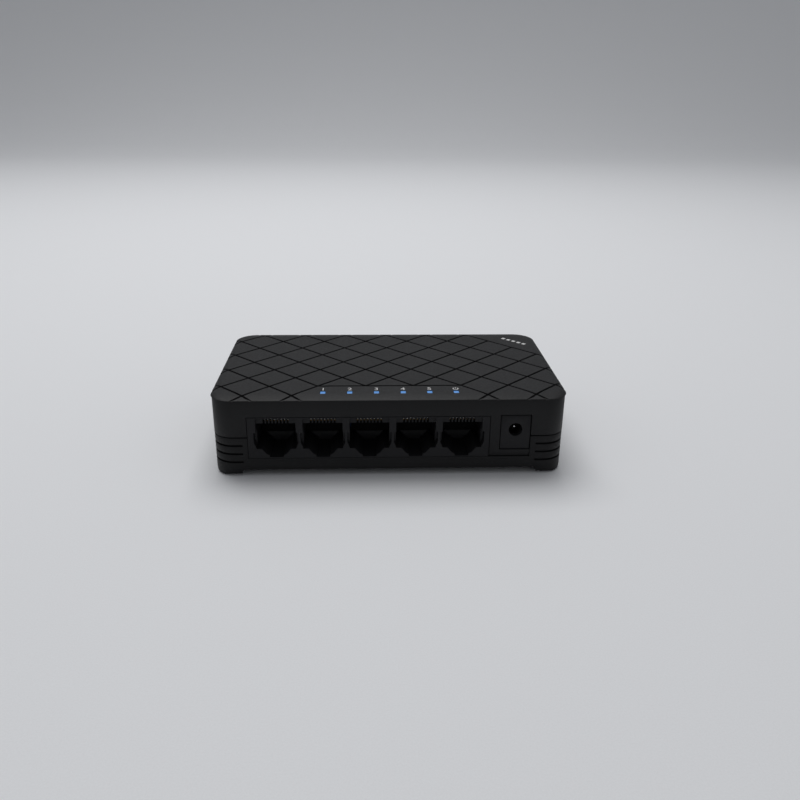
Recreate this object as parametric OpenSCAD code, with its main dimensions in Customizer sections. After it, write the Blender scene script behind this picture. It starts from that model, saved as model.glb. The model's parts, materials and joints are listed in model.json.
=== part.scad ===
// Desktop network switch: a small two-shell plastic case with five ganged RJ45 sockets and a
// round power socket in the front wall, and a circuit board inside.
// Millimetres. +Z is up, the ports face -Y, and Z = 0 is the surface that it stands on.

/* [Case] */
// Width over the top panel
case_w = 107.2; // [106:0.2:112]
// Depth over the top panel
case_d = 64; // [62:0.5:80]
// Height from the table to the top
case_h = 25.4; // [25:0.1:28]
// Wall thickness
wall = 1.6; // [1.4:0.1:2]
// Plan radius of the two front corners
front_corner_r = 6.5; // [5:0.5:8]
// Plan radius of the two back corners
back_corner_r = 7; // [6:0.5:9]
// How far the top panel stands out past the walls
lid_overhang = 0.25; // [0.2:0.05:0.4]
// Height of the top of the lower shell's wall
parting_z = 12.6; // [12:0.1:13]
// Width of the visible seam between the two shells
seam = 0.3; // [0.2:0.05:0.4]

/* [Top panel] */
// Diagonal of one diamond of the groove pattern
diamond = 14.625; // [12:0.125:18]
// Distance from the front edge to the first row of crossings
first_row = 2.92; // [2:0.02:4]
// Width of a groove
groove_w = 0.6; // [0.4:0.1:1]
// Depth of a groove
groove_depth = 0.6; // [0.2:0.05:0.8]
// How far the panel's edges drop below its flat middle
edge_drop = 0.68; // [0.4:0.02:0.9]
// Radius of the roll-off along the front and back edges
front_roll_r = 24; // [18:1:30]
// Radius of the roll-off along the side edges
side_roll_r = 4; // [3:0.5:6]

/* [Ports] */
// Centre of the left port
port_1_x = -34.15; // [-34.5:0.05:-34]
// Distance from port to port
port_pitch = 13.97; // [13.97:0.01:14]
// Height of the socket block above the board
block_h = 13.2; // [13:0.1:13.4]
// Depth of the socket block
block_d = 16; // [15.5:0.5:18]
// Width of a plug cavity
cavity_w = 11.9; // [11.7:0.1:12]
// Distance from contact wire to contact wire
contact_pitch = 1.016; // [1:0.002:1.03]
// Thickness of a contact wire
wire = 0.4; // [0.3:0.05:0.45]

/* [Power socket] */
// Centre of the power socket
power_x = 37.85; // [37.8:0.05:37.9]
// Width of the socket's face
power_w = 9; // [8.8:0.1:9]
// Height of the socket's face
power_h = 11; // [10.8:0.1:11]
// Length of the socket's housing
power_l = 14; // [13:0.5:15]
// Radius of the plug's hole
power_hole_r = 2.05; // [2:0.05:2.2]
// Radius of the centre pin
power_pin_r = 0.65; // [0.5:0.05:0.7]

/* [Board] */
// Width of the circuit board
board_w = 86.4; // [86:0.2:87]
// Depth of the circuit board
board_d = 46; // [44:0.5:48]
// Thickness of the circuit board
board_t = 1.2; // [1:0.1:1.2]

/* [Hidden] */

$fn = 64;
eps = 0.05;
fit = 0.1;
ports = 5;
wires = 8;

shell_w = case_w - 2 * lid_overhang;
shell_d = case_d - 2 * lid_overhang;
front_y = -shell_d / 2;
lid_edge_z = case_h - edge_drop - 0.12;
ceiling_z = case_h - 2;
cover_bottom_z = parting_z + seam;

foot_proud = 0.4;
floor_z = 2.2;
floor_t = 1.5;
foot_inner_x = 44.2;
foot_slant = 0.9;
foot_length = 12;
foot_bevel = 1;
pad_r = 3.2;
pad_x = 47.6;
pad_y = 25.8;
pad_depth = 0.8;

board_z = 4.8;
board_top = board_z + board_t;
board_front_y = front_y + wall + 0.2;

block_top = board_top + block_h;
block_x0 = port_1_x - port_pitch / 2 - 1.45;
block_x1 = port_1_x + (ports - 0.5) * port_pitch + 1.25;
block_back_y = front_y + block_d;

// Plug cavity, as heights above the board
cavity_low = board_top + 3.1;
cavity_high = board_top + 10.95;
channel_w = 8.2;
channel_high = block_top - 0.6;
cavity_depth = 12.8;
mouth_depth = 1.2;
mouth_high = block_top - 0.3;
comb_depth = 2.6;
tooth_w = 0.45;
bulge_w = 13.3;
bulge_low = board_top + 5;
bulge_high = board_top + 8.3;
bulge_depth = 3;

// Contact wires: a run along the channel, a drop at the front and a sprung arm
run_z = channel_high - 0.3;
bend_y = front_y + 3.4;
pivot_z = cavity_high + 0.05;
arm_reach = 8.55;
arm_drop = 2.5;
knuckle_r = 0.22;
tail_rows_y = [block_back_y - 1, block_back_y - 0.15];

opening_x0 = block_x0 - 0.15;
opening_x1 = power_x + power_w / 2 + 0.2;
opening_low = board_top - 0.1;
opening_top = block_top + 0.1;

// Power socket
power_low = board_top + 2.35;
power_front_y = front_y + 0.3;
power_hole_z = power_low + 6.35;
power_hole_depth = 9.5;
rail_bevel_z = board_top + 0.95;
spring_pivot_y = power_front_y + 12.4;
spring_pivot_z = power_hole_z - power_hole_r - 0.75;
spring_reach = 8.6;
spring_rise = 1.05;

// Vent grooves
vent_z = [4.75, 7.45, 10.15];
vent_h = 0.65;
vent_depth = 0.9;
vent_window = [[-20, -4.5], [4.5, 20]];

// Fasteners
screw_x = 47.4;
screw_y = 14.5;
boss_r = 3;
pilot_r = 1.3;
shank_r = 1.25;
board_screw_x = 39.6;
board_screw_y = 11.2;

// Indicators
led_x = [-20.1, -12.05, -4.03, 4, 12, 20];
led_y = front_y + 18.55;
window_y = -case_d / 2 + 5;
window_w = 1.5;
window_d = 1.8;
guide_z = [20.2, 21.6];

function port_x(i) = port_1_x + i * port_pitch;
function wire_x(i, k) = port_x(i) + (k - (wires - 1) / 2) * contact_pitch;

// ---------------------------------------------------------------- shared shapes

// A box from its lowest to its highest corner
module span(low, high) {
    translate(low)
        cube(high - low);
}

// The case's plan, drawn in by a distance, between two heights
module slab(w, d, inset, z0, z1) {
    front_r = front_corner_r - inset;
    back_r = back_corner_r - inset;
    half_w = w / 2 - inset;
    half_d = d / 2 - inset;
    translate([0, 0, z0])
        linear_extrude(z1 - z0)
            union() {
                translate([-half_w + front_r, -half_d])
                    square([2 * (half_w - front_r), half_d]);
                translate([-half_w + back_r, 0])
                    square([2 * (half_w - back_r), half_d]);
                translate([-half_w, -half_d + front_r])
                    square([2 * half_w, 2 * half_d - front_r - back_r]);
                for (side = [-1, 1]) {
                    translate([side * (half_w - front_r), -half_d + front_r])
                        circle(front_r);
                    translate([side * (half_w - back_r), half_d - back_r])
                        circle(back_r);
                }
            }
}

module both_sides() {
    children();
    mirror([1, 0, 0])
        children();
}

module four_corners() {
    both_sides() {
        children();
        mirror([0, 1, 0])
            children();
    }
}

// ---------------------------------------------------------------- upper shell

// A long bar whose top rolls off by edge_drop at both sides of its width
module rolled_bar(width, length, radius, top) {
    run = sqrt(pow(radius, 2) - pow(radius - edge_drop, 2));
    half = width / 2;
    low = top - 4;
    union() {
        span([-length / 2, -half + run, low], [length / 2, half - run, top]);
        for (side = [-1, 1])
            intersection() {
                translate([0, side * (half - run), top - radius])
                    rotate([0, 90, 0])
                        cylinder(r = radius, h = length, center = true, $fn = 128);
                translate([0, side * (half - run / 2), (low + top) / 2])
                    cube([length, run + eps, top - low + eps], center = true);
            }
    }
}

// The top panel with its edges rolled off
module rolled_panel(top) {
    intersection() {
        slab(case_w, case_d, 0, top - edge_drop - 0.12, top + 1);
        rolled_bar(case_d, case_w + 2, front_roll_r, top);
        rotate([0, 0, 90])
            rolled_bar(case_w, case_d + 2, side_roll_r, top);
    }
}

// Both families of diagonal grooves
module groove_bars() {
    reach = case_w + case_d;
    row_y = -case_d / 2 + first_row;
    for (turn = [-1, 1])
        for (k = [-3 : 7])
            translate([-turn * (k * diamond + row_y), 0, case_h])
                rotate([0, 0, turn * -45])
                    cube([groove_w, 2 * reach, 3], center = true);
}

// Plan regions that the grooves leave free: the indicators at the front edge and one back corner
module plain_regions() {
    front = -case_d / 2;
    half_groove = groove_w / sqrt(2) - 0.04;
    strip_x = 1.5 * diamond;
    strip_y = front + first_row + diamond / 2;
    corner_sum = front + first_row + 6 * diamond + half_groove;
    translate([0, 0, case_h - 2])
        linear_extrude(4) {
            polygon([
                [-strip_x + half_groove / 2, strip_y - half_groove / 2],
                [strip_x - half_groove / 2, strip_y - half_groove / 2],
                [2 * diamond - half_groove, front + first_row],
                [2 * diamond - first_row - half_groove - 2, front - 2],
                [-2 * diamond + first_row + half_groove + 2, front - 2],
                [-2 * diamond + half_groove, front + first_row]]);
            polygon([
                [corner_sum - case_d / 2, case_d / 2],
                [case_w / 2, corner_sum - case_w / 2],
                [case_w, corner_sum - case_w / 2],
                [case_w, case_d],
                [corner_sum - case_d / 2, case_d]]);
        }
}

// The straight groove that closes the indicator strip
module strip_groove() {
    strip_x = 1.5 * diamond;
    strip_y = -case_d / 2 + first_row + diamond / 2;
    translate([0, strip_y, case_h])
        cube([2 * strip_x, groove_w * 0.7, 3], center = true);
}

module grooves() {
    difference() {
        union() {
            difference() {
                groove_bars();
                plain_regions();
            }
            strip_groove();
        }
        rolled_panel(case_h - groove_depth);
    }
}

// L-shaped tongue of the upper shell that fills in beside and below the power socket
module socket_tongue() {
    left = block_x1 + 0.15;
    right = opening_x1 - 0.1;
    rail = power_x - power_w / 2 - 0.2;
    back = front_y + wall;
    span([left, front_y, rail_bevel_z], [rail, back, cover_bottom_z + 1]);
    span([left, front_y, rail_bevel_z], [right, back, power_low - 0.1]);
    span([left, front_y + 0.35, opening_low + fit], [right, back, rail_bevel_z + eps]);
}

module top_cover() {
    color("#3c3c3c")
        difference() {
            union() {
                difference() {
                    rolled_panel(case_h);
                    grooves();
                }
                slab(shell_w, shell_d, 0, ceiling_z, lid_edge_z + eps);
                difference() {
                    slab(shell_w, shell_d, 0, cover_bottom_z, ceiling_z + eps);
                    slab(shell_w, shell_d, wall, cover_bottom_z - 1, ceiling_z + 1);
                    span([opening_x0, front_y - 1, 0], [block_x1 + 0.15, front_y + 3, opening_top]);
                    span([power_x - power_w / 2 - 0.2, front_y - 1, 0],
                         [opening_x1, front_y + 3, opening_top + 0.15]);
                }
                socket_tongue();
                four_corners()
                    translate([screw_x, screw_y, board_top + 0.2])
                        cylinder(r = boss_r, h = ceiling_z - board_top);
            }
            four_corners()
                translate([screw_x, screw_y, board_top])
                    cylinder(r = pilot_r, h = 9);
            for (x = led_x)
                translate([x, window_y, case_h])
                    cube([window_w + fit, window_d + fit, 6], center = true);
        }
}

// ---------------------------------------------------------------- lower shell

// Corner foot with a slanting inner end
module corner_foot() {
    translate([0, -case_d / 2, 0])
        rotate([90, 0, 0])
            translate([0, 0, -foot_length])
                linear_extrude(foot_length)
                    polygon([
                        [foot_inner_x, floor_z + 0.4],
                        [foot_inner_x + foot_slant, foot_proud],
                        [case_w, foot_proud],
                        [case_w, floor_z + 0.4]]);
}

// The case's outside up to the parting line, with its lowest edges bevelled
module lower_envelope() {
    half_w = shell_w / 2;
    half_d = shell_d / 2;
    low = foot_proud;
    top = parting_z;
    intersection() {
        slab(shell_w, shell_d, 0, low, top);
        rotate([90, 0, 0])
            linear_extrude(2 * case_d, center = true)
                polygon([[-half_w + foot_bevel, low], [half_w - foot_bevel, low],
                    [half_w, low + foot_bevel], [half_w, top],
                    [-half_w, top], [-half_w, low + foot_bevel]]);
        rotate([90, 0, 90])
            linear_extrude(2 * case_w, center = true)
                polygon([[-half_d + foot_bevel, low], [half_d - foot_bevel, low],
                    [half_d, low + foot_bevel], [half_d, top],
                    [-half_d, top], [-half_d, low + foot_bevel]]);
    }
}

// Everything below the floor that isn't a corner foot
module under_floor_gap() {
    difference() {
        span([-case_w, -case_d, -1], [case_w, case_d, floor_z]);
        four_corners()
            corner_foot();
    }
}

// Grooves that run along both sides and turn the corners
module vent_grooves() {
    for (z = vent_z) {
        intersection() {
            difference() {
                slab(shell_w + 2, shell_d + 2, 0, z - vent_h / 2, z + vent_h / 2);
                slab(shell_w, shell_d, vent_depth, z - vent_h, z + vent_h);
            }
            both_sides()
                span([foot_inner_x, -case_d, z - 1], [case_w, case_d, z + 1]);
        }
        both_sides()
            for (w = vent_window)
                span([shell_w / 2 - wall - 1, w[0], z - vent_h / 2],
                     [shell_w / 2 - vent_depth + eps, w[1], z + vent_h / 2]);
    }
}

module board_post() {
    difference() {
        translate([board_screw_x, board_screw_y, floor_z + floor_t - eps])
            cylinder(r = 2.6, h = board_z - floor_z - floor_t + eps);
        translate([board_screw_x, board_screw_y, floor_z + 0.6])
            cylinder(r = 0.95, h = 5);
    }
}

// Row of cooling slots through the floor
module floor_slots() {
    both_sides()
        for (k = [0 : 6])
            span([24 + k * 2.6 - 0.6, 17.5, 0], [24 + k * 2.6 + 0.6, 27.5, 6]);
}

module base() {
    color("#1e1e1e")
        difference() {
            union() {
                difference() {
                    lower_envelope();
                    under_floor_gap();
                    slab(shell_w, shell_d, wall, floor_z + floor_t, parting_z + 1);
                }
                // lip that steps up inside the upper shell
                difference() {
                    slab(shell_w, shell_d, wall + fit, parting_z - 1, parting_z + 1.4);
                    slab(shell_w, shell_d, wall + 0.8, parting_z - 2, parting_z + 2);
                    span([-foot_inner_x - 1, -case_d, 0], [foot_inner_x + 1, front_y + 8, 20]);
                    four_corners()
                        translate([screw_x, screw_y, 0])
                            cylinder(r = boss_r + 0.4, h = 20);
                }
                difference() {
                    slab(shell_w, shell_d, wall - 0.1, parting_z - 1.6, parting_z);
                    slab(shell_w, shell_d, wall + 0.8, parting_z - 3, parting_z + 1);
                    span([-foot_inner_x - 1, -case_d, 0], [foot_inner_x + 1, front_y + 8, 20]);
                    four_corners()
                        translate([screw_x, screw_y, 0])
                            cylinder(r = boss_r + 0.4, h = 20);
                }
                four_corners()
                    translate([screw_x, screw_y, floor_z + floor_t - eps])
                        cylinder(r = 4.2, h = board_top - floor_z - floor_t);
                both_sides()
                    board_post();
                // rib that carries the board's front edge
                span([-40, front_y + wall - eps, floor_z + 1], [40, front_y + 2.4, board_z]);
            }
            span([opening_x0, front_y - 1, opening_low], [opening_x1, front_y + 8, 20]);
            vent_grooves();
            floor_slots();
            four_corners() {
                translate([screw_x, screw_y, 0])
                    cylinder(r = 1.7, h = 10);
                translate([screw_x, screw_y, 0])
                    cylinder(r = 2.9, h = 4.2);
                translate([pad_x, pad_y, 0])
                    cylinder(r = pad_r + fit, h = foot_proud + pad_depth);
            }
            span([-21, -9, 0], [21, 15, floor_z + 0.15]);
        }
}

module rubber_feet() {
    color("#2a2a2c")
        four_corners()
            translate([pad_x, pad_y, 0]) {
                cylinder(r1 = pad_r - 0.3, r2 = pad_r, h = 0.3);
                translate([0, 0, 0.3])
                    cylinder(r = pad_r, h = foot_proud + pad_depth - 0.3);
            }
}

module underside_label() {
    color("#d8d8d4")
        span([-20.8, -8.8, floor_z + 0.02], [20.8, 14.8, floor_z + 0.15]);
}

// ---------------------------------------------------------------- fasteners

// Screw with a cross recess, head down
module screw(head_r, head_h, shank_radius, length) {
    difference() {
        union() {
            cylinder(r1 = head_r - 0.3, r2 = head_r, h = 0.3);
            translate([0, 0, 0.3])
                cylinder(r = head_r, h = head_h - 0.3);
            cylinder(r = shank_radius, h = length);
        }
        for (turn = [0, 90])
            rotate([0, 0, turn])
                cube([head_r * 1.1, 0.5, 1.6], center = true);
    }
}

module case_screws() {
    color("#9a9a9e")
        four_corners()
            translate([screw_x, screw_y, 2.5])
                screw(2.6, 1.7, shank_r, 11);
}

module board_screws() {
    color("#9a9a9e")
        both_sides()
            translate([board_screw_x, board_screw_y, board_top + 1.3])
                mirror([0, 0, 1])
                    screw(2.1, 1.3, 0.9, 3.4);
}

// ---------------------------------------------------------------- board

module circuit_board() {
    color("#1f5a37")
        difference() {
            span([-board_w / 2, board_front_y, board_z],
                 [board_w / 2, board_front_y + board_d, board_top]);
            both_sides() {
                translate([board_screw_x, board_screw_y, board_z])
                    cylinder(r = 1.1, h = 4, center = true);
            }
            for (i = [0 : ports - 1]) {
                for (k = [0 : wires - 1])
                    translate([wire_x(i, k), tail_rows_y[k % 2], board_z])
                        cylinder(r = 0.45, h = 4, center = true);
                for (side = [-1, 1])
                    translate([port_x(i) + side * 4.6, front_y + 9, board_z])
                        cylinder(r = 1.65, h = 4, center = true);
            }
            for (y = [power_front_y + 6, power_front_y + 12.6])
                translate([power_x, y, board_z])
                    cube([2.6, 1, 4], center = true);
        }
}

// ---------------------------------------------------------------- port block

// One port's plug cavity, contact channel and latch step, seen from the front
module port_cavity() {
    half = cavity_w / 2;
    // plug cavity through to the back, where the contact insert closes it
    span([-half, front_y - 1, cavity_low], [half, block_back_y + 1, cavity_high]);
    // side bulges at the mouth, which taper down to the cavity's own width
    translate([0, front_y + bulge_depth, 0])
        rotate([90, 0, 0])
            linear_extrude(bulge_depth + 1)
                polygon([[-bulge_w / 2, bulge_high], [bulge_w / 2, bulge_high],
                    [bulge_w / 2, bulge_low], [half - 0.1, cavity_low + 0.1],
                    [0.1 - half, cavity_low + 0.1], [-bulge_w / 2, bulge_low]]);
    // contact channel
    span([-channel_w / 2, front_y + comb_depth, cavity_high - eps],
         [channel_w / 2, block_back_y + 1, channel_high]);
    // latch step that narrows downwards
    translate([0, front_y + cavity_depth, board_top])
        rotate([90, 0, 0])
            linear_extrude(cavity_depth + 1)
                polygon([[-4.4, 3.15], [4.4, 3.15], [3, 1.45], [2.1, 1], [2.1, 0.3],
                    [-2.1, 0.3], [-2.1, 1], [-3, 1.45]]);
    // way down for the contact leads
    span([-channel_w / 2, block_back_y - 2.2, board_top - 1],
         [channel_w / 2, block_back_y + 1, cavity_high]);
    // mouth above the cavity, which sets the comb back from the face
    span([-half, front_y - 1, cavity_high - eps], [half, front_y + mouth_depth, mouth_high]);
    // open slots of the comb
    slot_w = contact_pitch - tooth_w;
    for (k = [0 : wires - 1])
        translate([(k - (wires - 1) / 2) * contact_pitch, 0, 0])
            span([-slot_w / 2, front_y + mouth_depth - eps, cavity_high - 0.5],
                 [slot_w / 2, front_y + comb_depth + 1, block_top + 1]);
}

module port_block() {
    color("#262626")
        difference() {
            union() {
                span([block_x0, front_y, board_top], [block_x1, block_back_y, block_top]);
                for (i = [0 : ports - 1])
                    for (side = [-1, 1])
                        translate([port_x(i) + side * 4.6, front_y + 9, board_z - 0.6])
                            cylinder(r = 1.6, h = board_t + 0.7);
            }
            for (i = [0 : ports - 1])
                translate([port_x(i), 0, 0])
                    port_cavity();
        }
}

// Carrier that holds one port's wires: a plate under the runs and a wall that closes the back
module contact_inserts() {
    color("#17171a")
        for (i = [0 : ports - 1])
            translate([port_x(i), 0, 0]) {
                span([-channel_w / 2 + fit, bend_y + wire / 2 + 0.1, run_z - wire / 2 - 0.7],
                     [channel_w / 2 - fit, block_back_y - 2.4, run_z - wire / 2]);
                span([-cavity_w / 2 + fit, front_y + cavity_depth, cavity_low + fit],
                     [cavity_w / 2 - fit, block_back_y - 2.3, cavity_high - fit]);
                span([-channel_w / 2 + fit, front_y + cavity_depth, cavity_high - 2 * fit],
                     [channel_w / 2 - fit, block_back_y - 2.3, run_z - wire / 2 - 0.6]);
            }
}

// The fixed part of every contact wire: front drop, run over the insert, tail into the board
module contact_leads() {
    color("#c9a24a")
        for (i = [0 : ports - 1])
            for (k = [0 : wires - 1])
                translate([wire_x(i, k), 0, 0])
                    union() {
                        tail_y = tail_rows_y[k % 2];
                        span([-wire / 2, bend_y - wire / 2, run_z - wire / 2],
                             [wire / 2, tail_y + wire / 2, run_z + wire / 2]);
                        span([-wire / 2, bend_y - wire / 2, pivot_z + knuckle_r + 0.1],
                             [wire / 2, bend_y + wire / 2, run_z]);
                        span([-wire / 2, tail_y - wire / 2, board_z - 0.9],
                             [wire / 2, tail_y + wire / 2, run_z]);
                    }
}

// The sprung arms of one port's wires
module contact_arms(i) {
    slope = atan2(arm_drop, arm_reach);
    length = norm([arm_drop, arm_reach]);
    color("#d6b055")
        for (k = [0 : wires - 1])
            translate([wire_x(i, k), bend_y, pivot_z])
                rotate([-slope, 0, 0])
                    union() {
                        translate([-wire / 2, 0, -wire / 2])
                            cube([wire, length, wire]);
                        rotate([0, 90, 0])
                            cylinder(r = knuckle_r, h = wire, center = true, $fn = 24);
                        translate([0, length, 0])
                            rotate([0, 90, 0])
                                cylinder(r = wire / 2, h = wire, center = true, $fn = 24);
                    }
}

module port_1_contacts() {
    contact_arms(0);
}

module port_2_contacts() {
    contact_arms(1);
}

module port_3_contacts() {
    contact_arms(2);
}

module port_4_contacts() {
    contact_arms(3);
}

module port_5_contacts() {
    contact_arms(4);
}

// ---------------------------------------------------------------- power socket

module power_socket() {
    half = power_w / 2;
    back = power_front_y + power_l;
    color("#242424")
        difference() {
            union() {
                span([power_x - half, power_front_y, power_low],
                     [power_x + half, back, power_low + power_h]);
                span([power_x - half + 0.5, power_front_y + 1.6, board_top],
                     [power_x + half - 0.5, back, power_low + eps]);
            }
            translate([power_x, power_front_y - 1, power_hole_z])
                rotate([-90, 0, 0])
                    cylinder(r = power_hole_r, h = power_hole_depth + 1);
            translate([power_x, power_front_y + power_hole_depth - 1, power_hole_z])
                rotate([-90, 0, 0])
                    cylinder(r = power_pin_r, h = power_l);
            // slot for the sleeve contact
            span([power_x - 1.1, power_front_y + 2.6, spring_pivot_z - 1.9],
                 [power_x + 1.1, back + 1, power_hole_z - 1.2]);
            span([power_x - 1.1, power_front_y + 12.1, board_top - 1],
                 [power_x + 1.1, back + 1, spring_pivot_z]);
            span([power_x - 1.1, power_front_y + 5.5, board_top - 1],
                 [power_x + 1.1, power_front_y + 6.5, spring_pivot_z - 1.8]);
        }
}

module power_pin() {
    tip_y = power_front_y + 2.2;
    color("#d9d9dc")
        union() {
            translate([power_x, tip_y + power_pin_r, power_hole_z])
                sphere(power_pin_r - 0.02);
            translate([power_x, tip_y + power_pin_r, power_hole_z])
                rotate([-90, 0, 0])
                    cylinder(r = power_pin_r - 0.02, h = power_l - 2.6);
        }
}

// Leaf that presses on the plug's sleeve from below
module power_spring() {
    slope = atan2(spring_rise, spring_reach);
    length = norm([spring_rise, spring_reach]);
    color("#c8c8c0")
        translate([power_x, spring_pivot_y, spring_pivot_z])
            rotate([-slope, 0, 0])
                union() {
                    span([-0.8, -length, -0.12], [0.8, 0, 0.12]);
                    translate([0, -length, -0.12])
                        rotate([0, 90, 0])
                            cylinder(r = 0.3, h = 1.6, center = true, $fn = 24);
                    rotate([0, 90, 0])
                        cylinder(r = 0.2, h = 1.6, center = true, $fn = 24);
                }
}

module power_terminals() {
    color("#c8c8c0") {
        span([power_x - 0.8, spring_pivot_y + 0.35, board_z - 0.9],
             [power_x + 0.8, spring_pivot_y + 0.6, spring_pivot_z + 0.3]);
        span([power_x - 0.8, power_front_y + 5.9, board_z - 0.9],
             [power_x + 0.8, power_front_y + 6.15, spring_pivot_z - 2]);
    }
}

// ---------------------------------------------------------------- indicators

module status_leds() {
    color("#f4f2e0")
        for (x = led_x)
            translate([x, led_y, board_top])
                union() {
                    span([-0.8, -0.4, 0], [0.8, 0.4, 0.3]);
                    span([-0.55, -0.4, 0.2], [0.55, 0.4, 0.65]);
                }
}

// Clear moulding: a leg over each indicator, an arm forward over the port block, a post up
module light_guide() {
    half = 0.65;
    color("#cfe4ee")
        union() {
            for (x = led_x) {
                span([x - half, led_y - half, board_top + 0.8], [x + half, led_y + half, guide_z[1]]);
                span([x - half, window_y - window_d / 2, guide_z[0]], [x + half, led_y, guide_z[1]]);
                span([x - window_w / 2, window_y - window_d / 2, guide_z[0]],
                     [x + window_w / 2, window_y + window_d / 2, case_h - 0.09]);
            }
            span([led_x[0], led_y - half, guide_z[0]], [led_x[5], led_y, guide_z[1]]);
        }
}

// ---------------------------------------------------------------- components on the board

// A row of gull-wing leads along X, foot towards -Y
module lead_row(count, pitch, lead_w, reach, height) {
    for (k = [0 : count - 1])
        translate([(k - (count - 1) / 2) * pitch, 0, 0])
            union() {
                span([-lead_w / 2, -reach, 0], [lead_w / 2, -reach / 2, 0.15]);
                span([-lead_w / 2, -reach / 2 - 0.15, 0], [lead_w / 2, -reach / 2, height]);
                span([-lead_w / 2, -reach / 2 - 0.15, height - 0.15], [lead_w / 2, 0, height]);
            }
}

chip_at = [-3, 5.6, board_top];
chip_w = 14;
transformer_x = [-33, -13.5, 6];
transformer_y = -7.4;
memory_at = [-24, 7, board_top];
regulator_at = [27, -4, board_top];

module switch_chip() {
    color("#1a1a1c")
        translate(chip_at)
            difference() {
                span([-chip_w / 2, -chip_w / 2, 0.1], [chip_w / 2, chip_w / 2, 1.3]);
                translate([-chip_w / 2 + 1.6, -chip_w / 2 + 1.6, 1.2])
                    cylinder(r = 0.6, h = 1);
            }
}

module switch_chip_leads() {
    color("#b8b8b8")
        translate(chip_at)
            for (turn = [0 : 90 : 270])
                rotate([0, 0, turn])
                    translate([0, -chip_w / 2, 0])
                        lead_row(16, 0.8, 0.3, 1.1, 0.7);
}

module port_transformers() {
    color("#1c1c1e")
        for (x = transformer_x)
            span([x - 8, transformer_y - 3.5, board_top + 0.1],
                 [x + 8, transformer_y + 3.5, board_top + 5.6]);
}

module transformer_leads() {
    color("#b8b8b8")
        for (x = transformer_x)
            translate([x, transformer_y, board_top])
                for (turn = [0, 180])
                    rotate([0, 0, turn])
                        translate([0, -3.5, 0])
                            lead_row(8, 1.27, 0.4, 1, 1.6);
}

module memory_chip() {
    color("#1a1a1c")
        translate(memory_at)
            span([-2.45, -1.95, 0.1], [2.45, 1.95, 1.5]);
}

module regulator_chip() {
    color("#1a1a1c")
        translate(regulator_at)
            span([-2.45, -1.95, 0.1], [2.45, 1.95, 1.5]);
}

module small_chip_leads() {
    color("#b8b8b8")
        for (at = [memory_at, regulator_at])
            translate(at)
                for (turn = [0, 180])
                    rotate([0, 0, turn])
                        translate([0, -1.95, 0])
                            lead_row(4, 1.27, 0.4, 1, 0.8);
}

module clock_crystal() {
    color("#b4b4b6")
        translate([12.5, 8.5, board_top])
            union() {
                span([-3.2, -2.3, 0.4], [3.2, 2.3, 3.6]);
                span([-3.2, -2.5, 0], [3.2, 2.5, 0.4 + eps]);
                for (side = [-1, 1])
                    translate([side * 3.2, 0, 0]) {
                        cylinder(r = 2.5, h = 0.4 + eps);
                        cylinder(r = 2.3, h = 3.6);
                    }
            }
}

module power_inductor() {
    color("#2b2b2e")
        translate([36.5, -6.5, board_top])
            union() {
                span([-3.4, -3.4, 0], [3.4, 3.4, 0.8]);
                cylinder(r = 3.2, h = 3.6);
                span([-3.4, -3.4, 3.2], [3.4, 3.4, 4]);
            }
}

// Upright can on a square plastic foot
module can_capacitor(radius, height) {
    union() {
        span([-radius, -radius, 0], [radius, radius, 0.8]);
        cylinder(r = radius - 0.2, h = height);
    }
}

module reservoir_capacitor() {
    color("#34363c")
        translate([26, 6, board_top])
            can_capacitor(4, 10);
}

module output_capacitor() {
    color("#34363c")
        translate([35.5, 4.5, board_top])
            can_capacitor(3.15, 7.5);
}

module protection_diode() {
    color("#1a1a1c")
        translate([38, -13.3, board_top])
            span([-2.2, -1.3, 0], [2.2, 1.3, 2.2]);
}

module fuse() {
    color("#c9b98a")
        translate([30, -13.3, board_top])
            span([-1.6, -0.9, 0], [1.6, 0.9, 0.8]);
}

module surge_capacitor() {
    color("#2f5fa8")
        translate([-36, 6, board_top + 4.4])
            rotate([0, 90, 0])
                union() {
                    cylinder(r = 3.6, h = 2.6, center = true);
                    for (side = [-1, 1])
                        translate([2.2, side * 2.5, 0])
                            rotate([0, 90, 0])
                                cylinder(r = 0.3, h = 2.2);
                }
}

module chip_capacitors() {
    color("#b59a78")
        for (k = [0 : 8])
            for (y = [-1.4, 12])
                if (y < 0 || k > 1)
                    translate([-32 + k * 2.4, y, board_top])
                        span([-0.8, -0.4, 0], [0.8, 0.4, 0.8]);
}

module chip_resistors() {
    color("#26262a")
        for (k = [0 : 9])
            translate([12 + (k % 5) * 2.4, -12 + floor(k / 5) * 12.4, board_top])
                span([-0.8, -0.4, 0], [0.8, 0.4, 0.45]);
}

top_cover();
base();
rubber_feet();
case_screws();
board_screws();
circuit_board();
port_block();
contact_inserts();
contact_leads();
port_1_contacts();
port_2_contacts();
port_3_contacts();
port_4_contacts();
port_5_contacts();
power_socket();
power_pin();
power_spring();
power_terminals();
light_guide();
status_leds();
switch_chip();
switch_chip_leads();
port_transformers();
transformer_leads();
memory_chip();
regulator_chip();
small_chip_leads();
clock_crystal();
power_inductor();
reservoir_capacitor();
output_capacitor();
protection_diode();
fuse();
surge_capacitor();
chip_capacitors();
chip_resistors();
underside_label();
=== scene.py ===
"""Desktop network switch: its looks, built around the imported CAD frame.

Lengths named in millimetres are turned to metres with MM. +X is right, +Y is from the ports to
the back, +Z is up, and the object stands on Z = 0.
"""
import json
import math

import bmesh
import bpy
from mathutils import Matrix, Vector


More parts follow.
